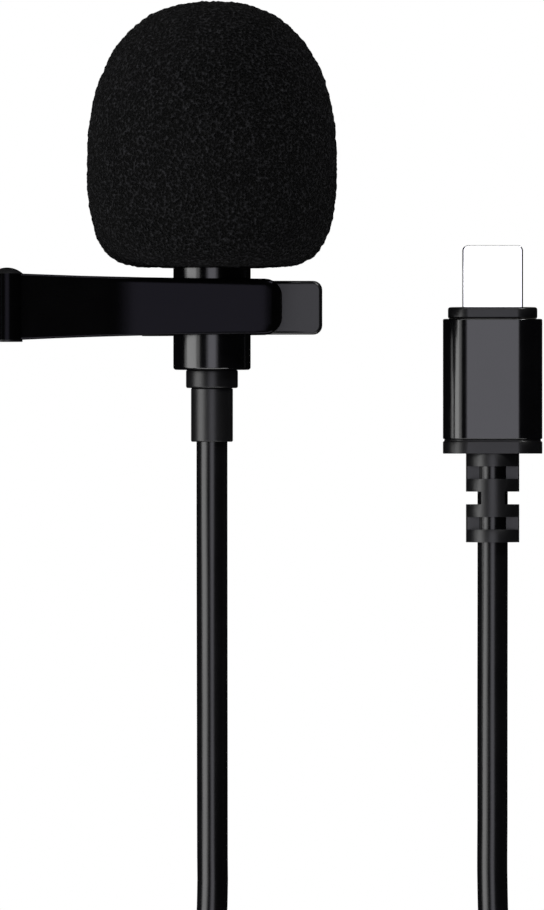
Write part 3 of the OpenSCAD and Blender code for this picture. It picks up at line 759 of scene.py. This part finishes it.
# The pierced cap, and inside it the mesh, felt and capsule, as they are pushed into the tube.
capsule_metal = plain_material("drawn_aluminium", "#b9bbbd", "#cfd1d3", 0.3, 1.0)
film = plain_material("metallised_film", "#c9b27a", "#dcc894", 0.25, 0.6)
felt = plain_material("pressed_felt", "#1c1c1e", "#343437", 0.9, 0.0, 0.2, 0.6)
rubber = plain_material("black_nitrile_rubber", "#0e0e0f", "#191919", 0.6)
for node, material in {
    "grille_cap": anodised, "grille_mesh": steel, "dust_felt": felt, "capsule_gasket": rubber,
    "capsule_can": capsule_metal, "diaphragm": film, "spacer_washer": natural, "backplate": gold,
    "backplate_holder": natural, "gate_ring": gold, "capsule_board": board, "capsule_fet": chip,
    "mic_wires": wire_red, "cord_crimp": steel, "ring_sleeve": rubber,
}.items():
    show_node(node, material)

# ---------------------------------------------------------------------------------------------
# Clip: two moulded arms of satin black plastic on a riveted pin. The front arm ends in the ring
# that holds the microphone; the rear arm is its toothed jaw. A spring holds the jaw shut.
# ---------------------------------------------------------------------------------------------
# The front arm's acetal is painted darker than the jaw's and given a much weaker reflection, tinted
# blue: painted shade, with a painted blue cast of light.
arm_plastic_painted_dark = satin_material(
    "acetal_painted_dark", "#020202", "#040404", 0.13, 0.18, 0.12, 0.085, "#ebe6ff"
)
jaw_plastic = satin_material("satin_acetal", "#060607", "#0b0b0c", 0.26, 0.32, 0.12, 0.44)

PIN = sum(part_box("clip_hinge_pin"), Vector()) / 2


STRAP_TIP = MIC_X + 7.7 * MM
STRAP_Y = sum(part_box("ring_sleeve"), Vector()).y / 2
TAPER = 0.0239     # the strap narrows by this much a side towards its tip
CROWN = 0.95 * MM  # how far in from a side the top begins to fall away
CORNER = 1.9 * MM  # the tip's corners, seen from above
CROWN_ROUND = 1.9 * MM
TIP_CROWN = 3 * MM  # and how far in from the tip, on a much flatter round
TIP_ROUND = 12 * MM


def half_strap(x):
    return 3.07 * MM - TAPER * (x - MIC_X)


def on_top(at):
    return at.x > PIN.x + 2.2 * MM and at.z > MIC_Z + 2.2 * MM


def beside(x, across):
    """How deep a point lies in the band along the strap's outline where the top falls away."""
    u, v = x - STRAP_TIP + CORNER, across - half_strap(x) + CORNER
    if u <= 0:
        return max(0, CROWN - CORNER + v)
    out = math.hypot(u, v)
    return max(0, CROWN - CORNER + out) * v / out if v > 0 else 0


def crown_strap(piece):
    """The strap's top falls away softly: 0.24 mm at its sides, 0.38 mm at its tip, both at a corner."""
    edit(piece)
    for side in (-1, 1):
        for step in range(1, 6):
            bpy.ops.mesh.select_all(action="SELECT")
            at = half_strap(MIC_X) - CROWN * step / 5 - 0.1 * MM
            bpy.ops.mesh.bisect(plane_co=(MIC_X, STRAP_Y + side * at, 0), plane_no=(TAPER, side, 0))
    for step in range(1, 7):
        bpy.ops.mesh.select_all(action="SELECT")
        bpy.ops.mesh.bisect(plane_co=(STRAP_TIP - (0.9 + 0.35 * step) * MM, 0, 0), plane_no=(1, 0, 0))
    pick(piece, "VERT", lambda v: on_top(v.co) and any(f.normal.z > 0.9 for f in v.link_faces)
         or v.co.x > STRAP_TIP - 2 * MM and v.co.z > MIC_Z + 4 * MM)
    for vertex in [v for v in bmesh.from_edit_mesh(piece.data).verts if v.select]:
        ahead = max(0, vertex.co.x - STRAP_TIP + TIP_CROWN)
        inside = beside(vertex.co.x, abs(vertex.co.y - STRAP_Y))
        vertex.co.z -= inside**2 / (2 * CROWN_ROUND) + ahead**2 / (2 * TIP_ROUND)
    bmesh.update_edit_mesh(piece.data)
    bpy.ops.mesh.select_all(action="SELECT")
    bpy.ops.mesh.remove_doubles(threshold=0.06 * MM)
    bpy.ops.object.mode_set(mode="OBJECT")


def strap_edge(edge):
    """Along both long sides of the strap, and all round its tip, but not in the ring's bore."""
    at = sum((v.co for v in edge.verts), Vector()) / 2
    beside = any(abs(f.normal.y) > 0.8 for f in edge.link_faces) or at.x > MIC_X + 5.4 * MM
    return beside and on_top(at) and math.hypot(at.x - MIC_X, at.z - MIC_Z) > 5.9 * MM


front_arm = from_node("clip_front", "clip_front_arm", 0.04)
crown_strap(front_arm)
round_where(front_arm, 0.2 * MM, strap_edge)
smooth(front_arm)
dress(front_arm, arm_plastic_painted_dark, "clip_front", "clip_plastic", "clip_front_arm")

rear_arm = from_node("clip_rear", "clip_rear_arm", 0.04)
jaw_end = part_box("clip_rear_arm")[1].x
round_where(rear_arm, 0.42 * MM, lambda e: max(v.co.x for v in e.verts) > jaw_end - 1.3 * MM)
smooth(rear_arm)
dress(rear_arm, jaw_plastic, "clip_rear", "clip_plastic", "clip_rear_arm")

# The pin is blackened steel: its head was formed as a dome, its tail riveted flat.
pin_metal = plain_material("blackened_steel", "#121213", "#1f1f21", 0.3, 0.4)
show_node("clip_hinge_pin", pin_metal)


def make_spring():
    """Torsion spring of bright steel wire round the pin, one leg on the inner side of each lever."""
    pin = Vector((PIN.x, STRAP_Y, PIN.z)) / MM
    coil_r, half, steps, turns = 0.95, 1, 24, 3.75
    legs_in = [(-6, -half, -6.9), (-3.6, -half, -4.4), (-1.6, -half, -1.8), (-0.8, -half, -1.1)]
    legs_out = [(-1.1, half, -0.8), (-1.9, half, -1.3), (-4, half, -0.5), (-6.4, half, 0.8)]
    winding = []
    for i in range(int(steps * turns) + 1):
        a = math.radians(270 + 360 * i / steps)
        along = -half + 2 * half * i / (steps * turns)
        winding.append((coil_r * math.cos(a), along, coil_r * math.sin(a)))
    points = [pin + Vector(p) for p in [*legs_in, *winding, *legs_out]]
    piece = wire_along("clip_spring_wire", smooth_line(points, 0.2), 0.17 * MM, 3)
    deselect()
    piece.select_set(True)
    bpy.context.view_layer.objects.active = piece
    bpy.ops.object.convert(target="MESH")
    piece.data.materials.clear()
    piece.data.materials.append(steel)
    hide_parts("clip_spring")
    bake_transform(piece)


make_spring()

# ---------------------------------------------------------------------------------------------
# Studio: a pale table that glows as an evenly lit white one does, a tall soft box on the left, and
# a dimmer one round the camera. Only a small lamp for the foam stands on the right.
# ---------------------------------------------------------------------------------------------
deselect()
bpy.ops.mesh.primitive_plane_add(size=6, location=(0, 0, -0.02 * MM))
table = placed("table")
table_material, tree, _ = new_material("white_table")
glow = add(tree, "ShaderNodeEmission", {"Color": linear("#ffffff"), "Strength": 1.0})
add(tree, "ShaderNodeOutputMaterial", {"Surface": glow.outputs["Emission"]})
table.data.materials.append(table_material)
table.visible_glossy = False


def soft_box(name, off_vertical, turn, distance, spread, length, radiance, shift=0.0):
    """
    A soft box that looks at the object, so far off the vertical, turned so far from +X. Its
    spread is the angle that it fills across, and its length and shift run along Y.
    """
    a, t = math.radians(off_vertical), math.radians(turn)
    way = Vector((math.sin(a) * math.cos(t), math.sin(a) * math.sin(t), math.cos(a)))
    across = 2 * distance * math.tan(math.radians(spread / 2))
    target = Vector((*VIEW_CENTRE, 5 * MM))
    bpy.ops.object.light_add(type="AREA", location=target + way * distance + Vector((0, shift, 0)))
    lamp = bpy.context.object
    lamp.name = name
    lamp.data.shape = "RECTANGLE"
    lamp.data.size, lamp.data.size_y = across, length
    if off_vertical:
        lamp.rotation_mode = "QUATERNION"
        lamp.rotation_quaternion = way.to_track_quat("Z", "Y")
        lamp.data.size, lamp.data.size_y = length, across
    lamp.data.energy = radiance * math.pi * across * length
    lamp.visible_camera = False
    return lamp


# these two boxes are two lamps each, one behind the other, so that their light fades at the edges
soft_box("left_box", 63, 180, 1.75, 52, 2.6, 1.5, -0.4)
soft_box("left_box_core", 64, 180, 1.6, 32, 2.4, 2.3, -0.4)
for lamp in (
    soft_box("camera_box", 0, 0, 1.3, 34, 1.8, 0.7, -0.4),
    soft_box("camera_box_core", 0, 0, 1.2, 22, 1.64, 1.08, -0.38),
):
    lamp.data.color = (0.96, 0.95, 1.05)
# one low box in front and one behind show the object's ends, and a small lamp brings out the foam
soft_box("front_box", 72, 270, 1.5, 24, 1.9, 3.5)
soft_box("back_box", 68, 90, 1.5, 26, 1.9, 3)
soft_box("foam_lamp", 56, 55, 1.4, 8, 0.2, 45)

world = bpy.data.worlds.new("studio")
scene.world = world
world.use_nodes = True
sky = world.node_tree
sky.nodes.clear()
seen = add(sky, "ShaderNodeLightPath")
white = add(sky, "ShaderNodeBackground", {"Color": linear("#ffffff"), "Strength": 1.0})
dim = add(sky, "ShaderNodeBackground", {"Color": linear("#ffffff"), "Strength": 0.004})
mixed = add(
    sky, "ShaderNodeMixShader",
    {0: seen.outputs["Is Camera Ray"], 1: dim.outputs["Background"], 2: white.outputs["Background"]},
)
add(sky, "ShaderNodeOutputWorld", {"Surface": mixed.outputs["Shader"]})
scene.view_settings.view_transform = "Standard"
